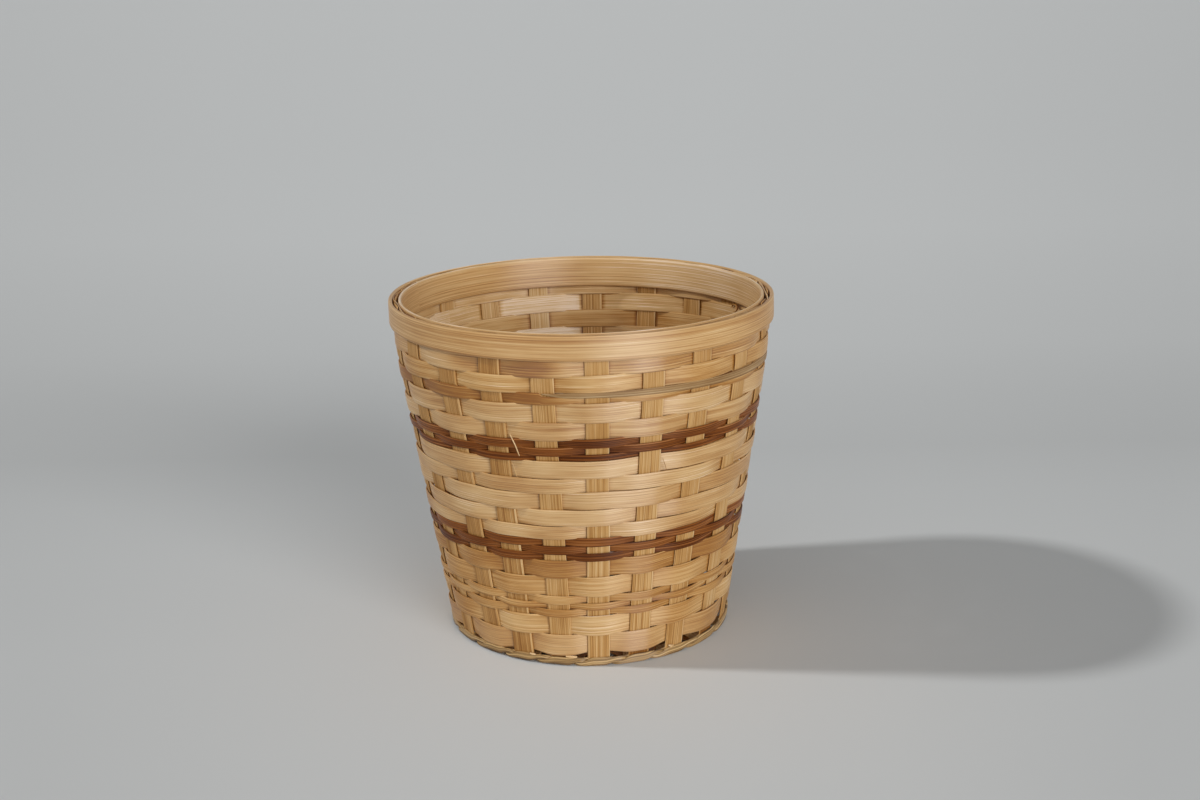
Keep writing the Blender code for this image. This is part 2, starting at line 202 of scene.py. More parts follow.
# Rows of the wall from the foot up: kind, widths in mm at the front and at the back, course, and tone
ROWS = (
    ("wide", 12.4, 11.8, "even", -0.08),
    ("wide", 12.5, 12.0, "odd", 0.04),
    ("narrow", 4.5, 4.3, "even", -0.17),
    ("narrow", 3.8, 3.8, "odd", -0.22),
    ("narrow", 4.5, 4.2, "even", -0.12),
    ("wide", 12.6, 11.9, "odd", -0.04),
    ("wide", 11.1, 10.7, "even", -0.26),
    ("brown", 4.4, 4.3, "odd", 0.00),
    ("brown", 4.7, 4.4, "even", 0.01),
    ("brown", 4.7, 4.5, "odd", -0.04),
    ("wide", 8.2, 8.4, "twill_2", 0.01),
    ("wide", 10.1, 9.5, "twill_0", 0.02),
    ("wide", 10.7, 9.8, "twill_1", 0.00),
    ("wide", 8.9, 8.7, "twill_2", 0.03),
    ("wide", 10.9, 10.1, "twill_0", 0.03),
    ("brown", 3.5, 3.6, "odd", -0.02),
    ("brown", 4.1, 4.0, "even", -0.04),
    ("brown", 4.7, 4.4, "odd", 0.02),
    ("wide", 10.3, 9.8, "even", 0.04),
    ("wide", 11.4, 10.6, "odd", 0.01),
    ("narrow", 6.5, 11.0, "even", -0.12),
    ("wide", 9.4, 11.4, "odd", 0.00),
    ("wide", 11.0, 12.2, "even", -0.03),
)
KINDS, FRONT_WIDTHS_MM, BACK_WIDTHS_MM, COURSES, TONES = zip(*ROWS)
RIM_ROW = len(ROWS) + 1
RIM_ROW_TONE = -0.1

# Rows that shine less
DULL_ROWS = (2, 6, 7, 22)

# The grey strip's end, which covers the upper part of a row
GREY_ROW = 21
GREY_FIRST_UPRIGHT = 4
GREY_WIDTHS_MM = (1.8, 2.6, 3.2, 3.8, 4.4, 4.4, 4.0, 3.6, 3.0)
GREY_BEHIND = (10, 12)
GREY_LAP = 0.3 * MM
GREY_OFFSET = 1.4 * MM
GREY_END_SHARE = 0.3
GREY_END_GROWTH = 1.5
GREY_END_TONE = 0.12
GREY_END_FADE = 3
GREY_TONE_WANDER = 0.2

# Splinters and frayed ends: spots of angle in degrees, height and distance proud in mm, then width and tone
SLIVERS = {
    "splinter_upper": (((-22.4, 152.8, 1.9), (-20.9, 146.6, 2.6), (-19.6, 139.9, 3.6)), 0.75, 0.78),
    "splinter_lower": (((-22.6, 134.6, 1.9), (-21.9, 130.0, 2.1), (-21.3, 125.5, 2.5)), 0.45, 0.66),
    "splinter_right": (((24.1, 135.0, 1.95), (24.9, 131.0, 2.1), (25.6, 127.2, 1.95)), 0.40, 0.22),
    "frayed_end_1": (((-9.6, 6.5, 1.6), (-7.4, 6.4, 2.0), (-5.2, 6.3, 1.7)), 1.7, 0.80),
    "frayed_end_2": (((-24.2, 6.3, 1.7), (-23.0, 6.2, 2.2), (-21.8, 6.0, 1.8)), 1.3, 0.75),
    "frayed_end_3": (((31.8, 7.2, 1.6), (33.0, 6.4, 2.3), (34.2, 6.2, 1.9)), 1.6, 0.75),
}
SLIVER_STEPS = 24
SLIVER_POINTS = 4
SLIVER_BLUNT = 0.12
SLIVER_THICK = 0.3

# The loose end that curls inside at the back, round a spot and with a reach given as a sliver's spots are
CURL_PLACE = (117.0, 189.5, -2.2)
CURL_REACH = (1.9, 2.4)
CURL_DEPTH_MM = 0.12
CURL_HALF_TURN = 8
CURL_SPOTS = 13
CURL_WIDTH_MM = 2.0
CURL_TONE = 0.45

# A row's ends meet behind an upright on the right or on the left side
RIGHT_STARTS = (10, 11, 12)
LEFT_STARTS = (18, 19, 21)

# A painted sheen makes two stretches of the inner face at the back nearly white
SHEEN_PAINTED_ROWS = (20, 22)
SHEEN_PAINTED_ANGLES_DEG = (179.5, 210.0)
SHEEN_PAINTED_TONE = 0.5
SHEEN_PAINTED_FADE = 0.04

# Darker stretches of rows: row, middle and half width in degrees, and tone
DARKER_STRETCHES = ((21, -45.0, 40.0, -0.24), (21, -23.0, 13.0, -0.16), (23, -25.0, 20.0, -0.34))
DARKER_STRETCH_GROWTH = 1.3

# Painted light makes the inner face of the wall lighter, most at the back on the left. Each painted place
# has its middle in degrees, its tone, and the cosine of the angle from its middle that it starts at and
# grows over
INNER_FACE_PAINTED_LIGHT = 0.07
INNER_FACE_PAINTED_LIGHTS = ((225.0, 0.21, 0.70, 0.2),)

# Mesh steps from one upright to the next, and points across one face of a section
GAP_STEPS = 16
WIDE_POINTS = 12
NARROW_POINTS = 10
TWINE_POINTS = 16
BROWN_POINTS = 20
UPRIGHT_POINTS = 14
WALL_STEPS = 72
BEND_STEPS = 10
BASE_STEPS = 8
HUB_STEPS = 4
HOOP_STEPS = 264
HOOP_START = math.radians(250.0)
HOOP_POINTS = 16
SEAM_REACH = 0.002 * MM

# The hoops aren't quite true, with a painted highlight on the top edge and painted light and shade in places
HOOP_WANDER = 0.15 * MM
HOOP_SLACK_MIDDLE = 0.6
HOOP_TONE_WANDER = 0.10
HOOP_TOP_PAINTED_LIGHT = 0.26
HOOP_TOP_LIGHT_FROM = 0.85
HOOP_TOP_LIGHT_OVER = 0.15
OUTER_TONE = 0.0
OUTER_PAINTED_LIGHTS = ((0.0, -0.10, -0.5, 1.0), (26.0, 0.12, 0.72, 0.24), (-42.0, 0.08, 0.72, 0.24))
INNER_TONE = 0.02
INNER_PAINTED_LIGHTS = ((138.0, 0.14, 0.55, 0.3), (137.0, 0.13, 0.9, 0.09), (192.0, -0.07, 0.9, 0.09))

# Each piece has its own number in the noises. The rows count from 1, and the others from here
FIRST_NUMBERS = {
    "long_splint": 40,
    "base_weaver": 70,
    "foot_twining": 90,
    "outer_rim_hoop": 150,
    "inner_rim_hoop": 160,
    "sliver": 200.0,
}
GREY_NUMBER = GREY_ROW + 0.5

# Unevenness round a ring, by kind: where its numbers start, and how many waves go round
WANDERS = {
    "row_edge": (0, 14),
    "row_ridge": (40, 9),
    "row_tilt": (60, 11),
    "row_tone": (80, 9),
    "pass_tone": (500, 40),
    "slit": (700, 7),
    "grey_tone": (120, 9),
    "hoop_edge": (0, 8),
    "hoop_tone": (3, 6),
    "hoop_slack": (7, 5),
    "ring_edge": (200, 9),
    "ring_tone": (210, 5),
    "twine_level": (300, 20),
    "twine_tone": (310, 9),
}

# Unevenness along a strip, and of grooves across half of one: where its numbers start, and how long it is
DRIFTS = {"side": (1, 60 * MM), "width": (30, 25 * MM), "tone": (9, 60 * MM), "groove": (1, 0.22)}
OTHER_LEG = 20

# How far apart two numbers lie in the noise, round a ring and along a strip
WANDER_APART = 3.1
DRIFT_APART = (0.37, 5.3)

# Grain as noises: how often each changes along the strip, across it and by piece, its detail and roughness
FIBRE = {"scale": (30.0, 3000.0, 3.0), "detail": 2.0, "roughness": 0.6}
BLOTCH = {"scale": (30.0, 80.0, 7.0), "detail": 2.0, "roughness": 0.5}
STREAK = {"detail": 1.0, "roughness": 0.5}
STREAK_ALONG = 2.5
STREAK_BY_PIECE = 5.0
STREAK_RELIEF = 0.6
GRAIN_RELIEF = 0.08 * MM
WEAR = 0.12

# The sheen of fibres: how much it's drawn out, and turned a quarter so that it runs across them
SHEEN_STRETCH = 0.95
SHEEN_TURN = 0.25
SPLINT_IOR = 1.6

# Camera, worked out from the rim and the foot in an image of 1200 by 800
IMAGE_WIDTH = 1200
FOCAL_PIXELS = 1696.0
SENSOR_WIDTH_MM = 36.0
CAMERA_PLACE = (0.0, -1.039, 0.434)
CAMERA_YAW = 0.009
CAMERA_PITCH_DEG = 15.66
CAMERA_ROLL_DEG = -0.97

# Floor: painted light and shade set its tone by how far back a place lies, and by its bearing from the
# camera
FLOOR_RADIUS = 14.0
FLOOR_CORNERS = 96
FLOOR_ROUGHNESS = 0.9
FLOOR_SHINE = 0.1
FLOOR_COLOUR = (0.717, 0.735, 0.736)
FLOOR_PAINTED_LIGHT = (
    (-0.06, 1.00),
    (0.02, 0.985),
    (0.11, 0.98),
    (0.22, 0.95),
    (0.35, 0.89),
    (0.51, 0.92),
    (0.71, 0.98),
    (1.40, 1.04),
    (2.50, 1.03),
    (8.00, 1.04),
)
BEARING_PAINTED_SHADE = (
    (-0.36, 0.90),
    (-0.20, 0.95),
    (-0.08, 0.97),
    (0.08, 0.97),
    (0.20, 0.95),
    (0.36, 0.89),
)

# Light
WHITE = (1.0, 1.0, 1.0)
BACKDROP_COLOUR = (0.46, 0.46, 0.46)
AMBIENT = 0.20
SIDE_SUN = {"towards": (-268.0, -2.0, 213.0), "strength": 1.24, "spread_deg": 4.0, "sheen": False}
FRONT_SUN = {"towards": (47.0, -84.0, 21.0), "strength": 2.30, "spread_deg": 38.0}
FILL_SUN = {"towards": (-42.0, -90.0, 70.0), "strength": 0.28, "spread_deg": 70.0}


def spread(first, last, count):
    """Angles that stand evenly between two others."""
    step = (last - first) / (count + 1)
    return [first + step * (k + 1) for k in range(count)]


def upright_angles():
    """All the uprights' angles, from the leftmost one at the front round by the right."""
    right = spread(FRONT_ANGLES_DEG[-1], BACK_ANGLES_DEG[0], SIDE_UPRIGHTS)
    left = spread(BACK_ANGLES_DEG[-1], FRONT_ANGLES_DEG[0] + 360.0, SIDE_UPRIGHTS)
    return [math.radians(value) for value in (*FRONT_ANGLES_DEG, *right, *BACK_ANGLES_DEG, *left)]


ANGLES = upright_angles()
UPRIGHTS = len(ANGLES)
ROUND_STEPS = UPRIGHTS * GAP_STEPS
LONG_SPLINTS = UPRIGHTS // 2

# Heights up the wall, from the frame's box
HEIGHT = frame_box[1].z
UPRIGHT_TOP = HEIGHT - RIM_RECESS
CURVE_HIGH = HEIGHT - INNER_BAND
CURVE_LOW = CURVE_HIGH - WALL_CURVE
FLOOR_MID = UPRIGHT_THICK / 2
WALL_SLOPE = (RIM_DISTANCE - FOOT_RADIUS) / ((CURVE_LOW + CURVE_HIGH) / 2 - FLOOR_MID)

# The turn from the base up into the wall
TURN = math.pi / 2 - math.atan(WALL_SLOPE)
FLAT_OUTER = FOOT_RADIUS - BEND_RADIUS * math.tan(TURN / 2)
FLAT_INNER = FLAT_OUTER - FLAT_WIDTH
BASE_RADIUS = FLAT_INNER - RISE_WIDTH


def facing(angle):
    """The level direction from the middle of the basket out at an angle."""
    return Vector((math.sin(angle), -math.cos(angle), 0.0))


def beside(angle):
    """The level direction along the wall, counter-clockwise from above."""
    return Vector((math.cos(angle), math.sin(angle), 0.0))


def clamp(value):
    """A value held between 0 and 1."""
    return min(1.0, max(0.0, value))


def ease(value):
    """A smooth change from 0 to 1."""
    held = clamp(value)
    return held * held * (3 - 2 * held)


def mix(start, end, share):
    """The value at a share of the way from one to another."""
    return start + (end - start) * share


def inset(share, margin):
    """A share counted again from one margin to the other. It's below 0 or above 1 on the margins."""
    return (share - margin) / (1 - 2 * margin)


def nearness(angle, middle_deg, starts_at, grows_over):
    """How near an angle is to a middle, from 0 to 1, by the cosine of the angle between them."""
    return ease((math.cos(angle - math.radians(middle_deg)) - starts_at) / grows_over)


def painted_light_at(angle, tone, lights):
    """A tone with what the painted light and shade round a ring add to it at an angle."""
    for middle_deg, added, starts_at, grows_over in lights:
        tone += added * nearness(angle, middle_deg, starts_at, grows_over)
    return tone


def wander(angle, number, kind):
    """A smooth random value, mostly within 0.6 of 0, that closes on itself round a ring."""
    first, cycles = WANDERS[kind]
    reach = cycles / (2 * math.pi)
    depth = WANDER_APART * (number + first)
    return noise.noise(Vector((reach * math.cos(angle), reach * math.sin(angle), depth)))


def drift(distance, number, kind):
    """A smooth random value along a strip."""
    first, length = DRIFTS[kind]
    seed = number + first
    return noise.noise(Vector((distance / length, DRIFT_APART[0] * seed, DRIFT_APART[1] * seed)))


def wall_distance(height):
    """How far the middle of an upright's thickness stands from the axis at a height."""
    if height >= CURVE_HIGH:
        return RIM_DISTANCE
    if height >= CURVE_LOW:
        return RIM_DISTANCE - WALL_SLOPE * (CURVE_HIGH - height) ** 2 / (2 * WALL_CURVE)
    return FOOT_RADIUS + WALL_SLOPE * (height - FLOOR_MID)


def wall_slope(height):
    """How far the wall leans out for each unit of height."""
    return WALL_SLOPE * clamp((CURVE_HIGH - height) / WALL_CURVE)


def passes_outside(course, upright):
    """Whether a row on this course passes outside an upright."""
    if course == "even":
        return upright % 2 == 0
    if course == "odd":
        return upright % 2 == 1
    place = upright if upright < TWILL_DOUBLED_UPRIGHT else upright - 1
    return place % TWILL_REPEAT != int(course[-1])


def row_course(number):
    """A row's course. Rows count from 1 at the foot up to the rim's."""
    return "odd" if number == RIM_ROW else COURSES[number - 1]


def row_side(number, upright):
    """1 where a row passes outside an upright, -1 where it passes inside."""
    return 1 if passes_outside(row_course(number), upright % UPRIGHTS) else -1


def painted_behind_shade(depth):
    """Painted shade on a splint where it lies behind another: depth is 1 there and -1 in front of it."""
    return BEHIND_PAINTED_SHADE * ease((depth - BEHIND_SHADE_FROM) / (1 - BEHIND_SHADE_FROM))


def crossing(share, pitch, radius):
    """How far a weaver has crossed from one upright to the next. It lies level near each of them."""
    return inset(share, DIP_SHARE * UPRIGHT_WIDTH / 2 / (pitch * radius))


def stack_up(start, widths_mm):
    """The heights of the lower edge of each row and of the upper edge of the last, from the foot up."""
    heights = [start]
    for width in widths_mm:
        heights.append(heights[-1] + width * MM + ROW_GAP)
    return heights


FRONT_HEIGHTS = stack_up(FOOT_GAP_FRONT, FRONT_WIDTHS_MM)
BACK_HEIGHTS = stack_up(FOOT_GAP_BACK, BACK_WIDTHS_MM)


def boundary(number, angle):
    """The height of the line between a row and the one above it."""
    middle = mix(FRONT_HEIGHTS[number], BACK_HEIGHTS[number], (1 - math.cos(angle)) / 2)
    height = middle + ROW_TILT * math.sin(angle) - ROW_GAP / 2
    return height + EDGE_WANDER * wander(angle, number, "row_edge")


def grey_width(position):
    """How wide the grey end is at a place counted in uprights, or nothing where it doesn't pass."""
    place = position - GREY_FIRST_UPRIGHT
    last = len(GREY_WIDTHS_MM) - 1
    if not 0 <= place <= last:
        return 0.0
    low = min(int(place), last - 1)
    share = place - low
    return (GREY_WIDTHS_MM[low] * (1 - share) + GREY_WIDTHS_MM[low + 1] * share) * MM


def new_material(name):
    """A material, its nodes and its shader."""
    material = bpy.data.materials.new(name)
    material.use_nodes = True
    return material, material.node_tree, material.node_tree.nodes["Principled BSDF"]


def new_mesh(name, shape, material):
    """A mesh of a finished shape, in one material."""
    mesh = bpy.data.meshes.new(name)
    shape.to_mesh(mesh)
    shape.free()
    mesh.materials.append(material)
    return mesh


def new_object(name, data):
    """An object of the scene."""
    made = bpy.data.objects.new(name, data)
    bpy.context.scene.collection.objects.link(made)
    return made


def set_value(node, **values):
    """Sets sockets of a node by their names, with _ for a space."""
    for name, value in values.items():
        node.inputs[name.replace("_", " ")].default_value = value


def add_node(tree, kind, *inputs, **settings):
    """A shader node. Each of its first inputs is given a number, a colour or another node's output."""
    node = tree.nodes.new("ShaderNode" + kind)
    for name, value in settings.items():
        setattr(node, name, value)
    for socket, value in zip(node.inputs, inputs):
        if isinstance(value, bpy.types.NodeSocket):
            tree.links.new(value, socket)
        else:
            socket.default_value = value
    return node


def calculate(tree, operation, *values):
    """The result of a sum on numbers and other nodes' outputs."""
    return add_node(tree, "Math", *values, operation=operation).outputs[0]


def noise_value(tree, place, scale, detail, roughness):
    """A noise over the splint: scale says how often it changes along, across, and by piece."""
    stretch = add_node(tree, "Mapping", place)
    set_value(stretch, Scale=scale)
    texture = add_node(tree, "TexNoise", stretch.outputs["Vector"])
    set_value(texture, Scale=1.0, Detail=detail, Roughness=roughness)
    return texture.outputs[0]


def weigh(tree, value, weight, total=None):
    """Adds a value, less its middle of one half, times a weight to a total."""
    scaled = calculate(tree, "MULTIPLY_ADD", value, weight, -weight / 2)
    return scaled if total is None else calculate(tree, "ADD", scaled, total)


def colour_ramp(tree, value, colours):
    """A colour that changes as a value passes each of the colours' places."""
    ramp = add_node(tree, "ValToRGB", value)
    stops = ramp.color_ramp.elements
    while len(stops) < len(colours):
        stops.new(0.5)
    for stop, (position, colour) in zip(stops, colours):
        stop.position = position
        stop.color = (*colour, 1.0)
    return ramp.outputs[0]


def splint_finish(name, colours, roughness, grain, streaks, blotches=0.5, lines=1650.0, gloss=1.0):
    """Wood split along its grain: fine fibres, long lines, so many a metre across, and slow blotches.

    Its sheen is drawn out across the fibres, as on any fibrous surface.
    """
    material, tree, shader = new_material(name)
    strip = add_node(tree, "UVMap", uv_map="splint")
    parts = add_node(tree, "SeparateXYZ", strip.outputs["UV"])
    piece = add_node(tree, "Attribute", attribute_name="piece")
    tone = add_node(tree, "Attribute", attribute_name="tone")
    place = add_node(tree, "CombineXYZ", *parts.outputs[:2], piece.outputs["Fac"]).outputs[0]
    fibre = noise_value(tree, place, **FIBRE)
    streak = noise_value(tree, place, (STREAK_ALONG, lines, STREAK_BY_PIECE), **STREAK)
    blotch = noise_value(tree, place, **BLOTCH)
    total = weigh(tree, blotch, blotches, weigh(tree, streak, streaks, weigh(tree, fibre, grain)))
    toned = calculate(tree, "ADD", total, tone.outputs["Fac"])
    tree.links.new(colour_ramp(tree, toned, colours), shader.inputs["Base Color"])
    worn = add_node(tree, "MapRange", fibre)
    set_value(worn, To_Min=roughness - WEAR, To_Max=roughness + WEAR)
    tree.links.new(worn.outputs[0], shader.inputs["Roughness"])
    fibres = add_node(tree, "Tangent", direction_type="UV_MAP", uv_map="splint")
    tree.links.new(fibres.outputs[0], shader.inputs["Tangent"])
    set_value(shader, Anisotropic=SHEEN_STRETCH, Anisotropic_Rotation=SHEEN_TURN)
    set_value(shader, Specular_IOR_Level=gloss, IOR=SPLINT_IOR)
    bump = add_node(tree, "Bump")
    set_value(bump, Strength=1.0, Distance=GRAIN_RELIEF)
    tree.links.new(weigh(tree, streak, STREAK_RELIEF, weigh(tree, fibre, 1.0)), bump.inputs["Height"])
    tree.links.new(bump.outputs[0], shader.inputs["Normal"])
    return material


def make_finishes():
    """Every finish of the basket, by name: colours from dark to light, with the usual one in the middle."""
    tan = (
        (0.00, (0.270, 0.100, 0.018)),
        (0.28, (0.415, 0.190, 0.042)),
        (0.50, (0.560, 0.312, 0.108)),
        (0.72, (0.660, 0.420, 0.182)),
        (0.88, (0.735, 0.500, 0.250)),
        (1.00, (0.870, 0.670, 0.480)),
    )
    upright = (
        (0.00, (0.220, 0.082, 0.016)),
        (0.28, (0.360, 0.168, 0.040)),
        (0.50, (0.500, 0.266, 0.084)),
        (0.72, (0.610, 0.372, 0.152)),
        (1.00, (0.720, 0.515, 0.280)),
    )
    brown = (
        (0.00, (0.050, 0.011, 0.002)),
        (0.30, (0.112, 0.029, 0.004)),
        (0.50, (0.190, 0.056, 0.009)),
        (0.72, (0.275, 0.094, 0.020)),
        (1.00, (0.450, 0.210, 0.080)),
    )
    grey = (
        (0.00, (0.120, 0.052, 0.016)),
        (0.28, (0.210, 0.108, 0.038)),
        (0.50, (0.310, 0.178, 0.072)),
        (0.72, (0.430, 0.275, 0.130)),
        (1.00, (0.640, 0.490, 0.300)),
    )
    foot = (
        (0.00, (0.100, 0.050, 0.016)),
        (0.28, (0.250, 0.138, 0.046)),
        (0.50, (0.430, 0.262, 0.098)),
        (0.72, (0.580, 0.382, 0.168)),
        (1.00, (0.740, 0.540, 0.300)),
    )
    bare = {"grain": 1.2, "streaks": 1.1, "lines": 2000.0}
    worn = {"grain": 1.0, "streaks": 1.6, "lines": 2400.0, "blotches": 0.3}
    fine = {"grain": 0.9, "streaks": 1.6, "lines": 2600.0}
    bent = {"grain": 0.9, "streaks": 1.3, "lines": 1400.0, "blotches": 0.25}
    return {
        "foot": splint_finish("worn_foot_splint", foot, 0.52, gloss=0.6, **worn),
        "wide": splint_finish("bare_wide_splint", tan, 0.46, **bare),
        "dull": splint_finish("dull_wide_splint", tan, 0.50, gloss=0.5, **bare),
        "narrow": splint_finish("bare_narrow_splint", tan, 0.52, gloss=0.5, **bare),
        "upright": splint_finish("bare_upright_splint", upright, 0.60, gloss=0.4, **fine),
        "hoop": splint_finish("bent_rim_splint", tan, 0.50, **bent),
        "brown": splint_finish("dyed_brown_splint", brown, 0.44, grain=0.6, streaks=1.8, gloss=0.15),
        "grey": splint_finish("weathered_grey_splint", grey, 0.60, grain=0.8, streaks=1.3, gloss=0.3),
    }


FINISHES = make_finishes()


def section_corner(corner, points):
    """A corner of a flat section with soft edges: how far across and how far out, each from -1 to 1."""
    on_top = corner <= points
    step = corner if on_top else 2 * points - corner
    across = math.sin(math.pi * (step / points - 0.5))
    thick = math.sqrt(max(0.0, 1 - across ** EDGE_POWER))
    return across, thick if on_top else -thick


def lay_strip(steps, points, place, tone_at, number, closed=True):
    """A strip of flat sections, closed into a ring or with two flat ends.

    It starts as a grid of steps along the strip by corners round its section. place(step, across, thick)
    gives each point, and tone_at how light it is. The map "splint" runs in metres along and across it.
    """
    shape = bmesh.new()
    bmesh.ops.create_grid(shape, x_segments=steps, y_segments=2 * points, size=1.0)
    sections = [section_corner(corner % (2 * points), points) for corner in range(2 * points + 1)]
    middles = [place(step, 0.0, 0.0) for step in range(steps + 1)]
    widths = [(place(step, 1.0, 0.0) - place(step, -1.0, 0.0)).length / 2 for step in range(steps + 1)]
    along = [0.0]
    for before, after in zip(middles, middles[1:]):
        along.append(along[-1] + (after - before).length)
    tone_of = shape.verts.layers.float.new("tone")
    piece_of = shape.verts.layers.float.new("piece")
    strip = shape.loops.layers.uv.new("splint")
    for vert in shape.verts:
        step = round((vert.co.x + 1) / 2 * steps)
        across, thick = sections[round((vert.co.y + 1) * points)]
        vert.co = place(step, across, thick)
        vert.co.x += SWAY_FOOT + (SWAY_RIM - SWAY_FOOT) * vert.co.z / HEIGHT
        vert.co.z = max(0.0, vert.co.z)
        vert[tone_of] = tone_at(step, across, thick)
        vert[piece_of] = number
        for loop in vert.link_loops:
            loop[strip].uv = (along[step], across * widths[step])
    edges = [vert for vert in shape.verts if vert.is_boundary]
    bmesh.ops.remove_doubles(shape, verts=edges, dist=SEAM_REACH)
    if not closed:
        bmesh.ops.holes_fill(shape, edges=shape.edges, sides=2 * points)
    return shape


def add_piece(shape, name, finish):
    """Makes an object of a finished shape. It stands for the frame's node of the same name."""
    bmesh.ops.recalc_face_normals(shape, faces=shape.faces)
    if shape.calc_volume(signed=True) < 0:
        bmesh.ops.reverse_faces(shape, faces=shape.faces)
    for face in shape.faces:
        face.smooth = True
    piece = new_object(name + "_wood", new_mesh(name, shape, FINISHES[finish]))
    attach(piece, "root")
    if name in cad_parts:
        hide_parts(name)


def upright_shift(upright, height):
    """How far an upright stands sideways of its even place at a height."""
    if upright >= len(FRONT_LEANS_MM):
        return 0.0
    return mix(*FRONT_LEANS_MM[upright], clamp(height / HEIGHT)) * MM


def angle_at(upright, height):
    """The angle at which an upright stands at a height."""
    return ANGLES[upright] + upright_shift(upright, height) / wall_distance(height)


def spot_at(step, height):
    """A step round the wall as the upright before it, the share of the way to the next, angle and pitch."""
    gap, part = divmod(step, GAP_STEPS)
    gap %= UPRIGHTS
    share = part / GAP_STEPS
    start = angle_at(gap, height)
    end = angle_at(gap + 1, height) if gap + 1 < UPRIGHTS else angle_at(0, height) + 2 * math.pi
    return gap, share, mix(start, end, share), end - start


def on_wall(angle, height, reach):
    """A point so far out of the wall's middle, square to the wall."""
    point = facing(angle) * (wall_distance(height) + reach)
    point.z = height - wall_slope(height) * reach
    return point


def row_start(number):
    """The upright behind which a row's two ends meet, on the left or the right side of the basket."""
    choices = RIGHT_STARTS if number % 2 else LEFT_STARTS
    return next(upright for upright in choices if row_side(number, upright) < 0)


def slit(number, angle, share):
    """How much further a low row stands off the one under it, between two uprights at the front."""
    if not 1 < number <= SLIT_ROWS:
        return 0.0
    front = nearness(angle, 0.0, math.cos(math.radians(SLIT_HALF_DEG)), SLIT_GROWS_OVER)
    opened = clamp(SLIT_MIDDLE + SLIT_WANDER * wander(angle, number, "slit"))
    return SLIT * opened * front * math.sin(math.pi * share) ** 2


def row_section(number, step):
    """One section of a row: angle, lower and upper edge, distance out, tilt, tone, and how much painted
    shade it takes behind an upright.
    """
    middle_height = (FRONT_HEIGHTS[number - 1] + BACK_HEIGHTS[number - 1]) / 2
    gap, share, angle, pitch = spot_at(step + row_start(number) * GAP_STEPS, middle_height)
    sides = [row_side(number, upright) for upright in (gap, gap + 1)]
    passed = ease(inset(share, PASS_MARGIN))
    spreads = []
    for neighbour in (number - 1, number + 1):
        apart = [0.0, 0.0]
        if 1 <= neighbour <= RIM_ROW:
            apart = [PASS_SPREAD * (row_side(neighbour, gap + k) != sides[k]) for k in (0, 1)]
        spreads.append(mix(*apart, passed))
    low = boundary(number - 1, angle) + ROW_GAP / 2 - spreads[0] + slit(number, angle, share)
    high = UPRIGHT_TOP
    if number < RIM_ROW:
        high = boundary(number, angle) - ROW_GAP / 2 + spreads[1]
    if number == 1:
        low -= FOOT_REACH + FOOT_SPREAD * mix(*sides, passed)
    if number == GREY_ROW and grey_width(gap + share):
        high -= grey_width(gap + share) + ROW_GAP
    out = WEAVE_OFFSET * mix(*sides, ease(crossing(share, pitch, wall_distance(low))))
    tilt = EDGE_TILT * wander(angle, number, "row_tilt")
    tones = [PASS_TONE * wander(ANGLES[k % UPRIGHTS], number, "pass_tone") for k in (gap, gap + 1)]
    half = UPRIGHT_WIDTH / 2 / (pitch * wall_distance(low))
    shade_share = ease((BEHIND_SHADE_REACH * half - min(share, 1 - share)) / (BEHIND_SHADE_FADE * half))
    return angle, low, high, out, tilt, mix(*tones, passed), shade_share


def add_wall_row(number, kind, tone, name):
    """One row of the wall, woven in and out of the uprights, its edges set by its neighbours."""
    points = {"wide": WIDE_POINTS, "narrow": NARROW_POINTS, "brown": BROWN_POINTS}[kind]
    sections = [row_section(number, step) for step in range(ROUND_STEPS + 1)]
    ridge_shifts = [RIDGE_WANDER * wander(angle, number, "row_ridge") for angle, *_ in sections]
    tones = []
    for angle, *_, own, _ in sections:
        tones.append(MIDDLE_TONE + tone + own + ROW_TONE_WANDER * wander(angle, number, "row_tone"))

    def place(step, across, thick):
        angle, low, high, out, tilt, *_ = sections[step]
        reach = out + thick * WEAVER_THICK / 2 + CUP * (1 - across * across) + tilt * across
        if kind == "brown":
            reach += BROWN_RIDGE * thick * math.cos(math.pi * BROWN_RIDGES * (across + ridge_shifts[step]))
        return on_wall(angle, mix(low, high, (across + 1) / 2), reach)

    def tone_at(step, across, thick):
        angle, _, _, out, _, _, shade_share = sections[step]
        # Painted shade where the row passes behind an upright
        behind_shade = painted_behind_shade(-out / WEAVE_OFFSET * thick) * shade_share
        # Painted sheen and painted light on the inner face
        painted_brightening = max(painted_sheen_patch(number, angle, thick), painted_inner_light(angle, thick))
        return tones[step] + painted_brightening + darker_stretch_tone(number, angle) - behind_shade

    shape = lay_strip(ROUND_STEPS, points, place, tone_at, number)
    add_piece(shape, name, "dull" if number in DULL_ROWS else kind)


def painted_sheen_patch(number, angle, thick):
    """The painted sheen on a row's inner face at the back, where two stretches are nearly white."""
    if number not in SHEEN_PAINTED_ROWS or thick > 0:
        return 0.0
    start, end = (math.radians(value) for value in SHEEN_PAINTED_ANGLES_DEG)
    return SHEEN_PAINTED_TONE * ease((angle - start) / SHEEN_PAINTED_FADE) * ease((end - angle) / SHEEN_PAINTED_FADE)


def darker_stretch_tone(number, angle):
    """What a row's darker stretches add to its tone at an angle."""
    tone = 0.0
    for row, middle_deg, half_deg, added in DARKER_STRETCHES:
        if row == number:
            edge = math.cos(math.radians(half_deg))
            inside = math.cos(angle - math.radians(middle_deg)) - edge
            tone += added * ease(inside / (1 - edge) * DARKER_STRETCH_GROWTH)
    return tone


def painted_inner_light(angle, thick):
    """The painted light that makes the wall lighter on its inner face."""
    return 0.0 if thick > 0 else painted_light_at(angle, INNER_FACE_PAINTED_LIGHT, INNER_FACE_PAINTED_LIGHTS)


